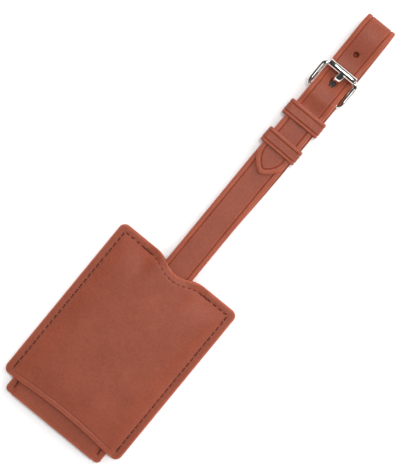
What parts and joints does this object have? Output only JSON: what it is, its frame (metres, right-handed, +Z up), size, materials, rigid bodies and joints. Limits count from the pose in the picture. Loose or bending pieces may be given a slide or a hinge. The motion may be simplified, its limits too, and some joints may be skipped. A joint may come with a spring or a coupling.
{
  "type": "luggage tag",
  "caption": "Leather luggage tag: a windowed card holder on a buckled strap with keepers, inside a stitched cover that slides up the strap.",
  "frame": {"origin": "on the table, under the middle of the tag as it lies on its back", "axes": "+Y along the strap towards its fold, +Z up out of the front face, +X to the right"},
  "size_m": [0.07, 0.2466, 0.0097],
  "materials": {
    "leather": "smooth full-grain, satin",
    "lining": "matte suede split",
    "thread": "waxed thread",
    "nickel": "polished",
    "clear_film": "clear, glossy",
    "paper": "uncoated card"
  },
  "bodies": {
    "holder": {"holder_back_panel": "leather", "holder_front_frame": "leather", "holder_seam_thread": "thread", "holder_window": "clear_film", "strap_root": "leather"},
    "cover": {"cover_back_panel": "leather", "cover_back_lining": "lining", "cover_front_panel": "leather", "cover_front_lining": "lining", "cover_seam_thread_left": "thread", "cover_seam_thread_right": "thread", "mouth_seam_thread": "thread"},
    "card": {"id_card": "paper"},
    "strap": {"strap_buckle_side": "leather", "strap_tongue_side": "leather", "turnback_seam_thread": "thread", "fixed_keeper": "leather"},
    "keeper": {"sliding_keeper": "leather"},
    "buckle": {"buckle_frame": "nickel"},
    "roller": {"buckle_roller": "nickel"},
    "prong": {"buckle_prong": "nickel"}
  },
  "joints": [
    {"name": "cover_slide", "type": "slide", "parent": "holder", "child": "cover", "axis": [0, -1, 0], "range_m": [-0.05, 0.0065]},
    {"name": "card_slide", "type": "slide", "parent": "holder", "child": "card", "axis": [0, -1, 0], "range_m": [0, 0.06]},
    {"name": "strap_flex", "type": "hinge", "parent": "holder", "child": "strap", "pos_m": [0, -0.024, 0.00435], "axis": [1, 0, 0], "range_deg": [0, 75]},
    {"name": "keeper_slide", "type": "slide", "parent": "strap", "child": "keeper", "axis": [0, -1, 0], "range_m": [-0.007, 0.013]},
    {"name": "buckle_tilt", "type": "hinge", "parent": "strap", "child": "buckle", "pos_m": [0, 0.0794, 0.00385], "axis": [1, 0, 0], "range_deg": [0, 6]},
    {"name": "prong_pivot", "type": "hinge", "parent": "buckle", "child": "prong", "pos_m": [0, 0.0794, 0.00385], "axis": [-1, 0, 0], "range_deg": [-6, 0]},
    {"name": "roller_spin", "type": "hinge", "parent": "buckle", "child": "roller", "pos_m": [0, 0.0933, 0.0065], "axis": [1, 0, 0], "continuous": true}
  ]
}
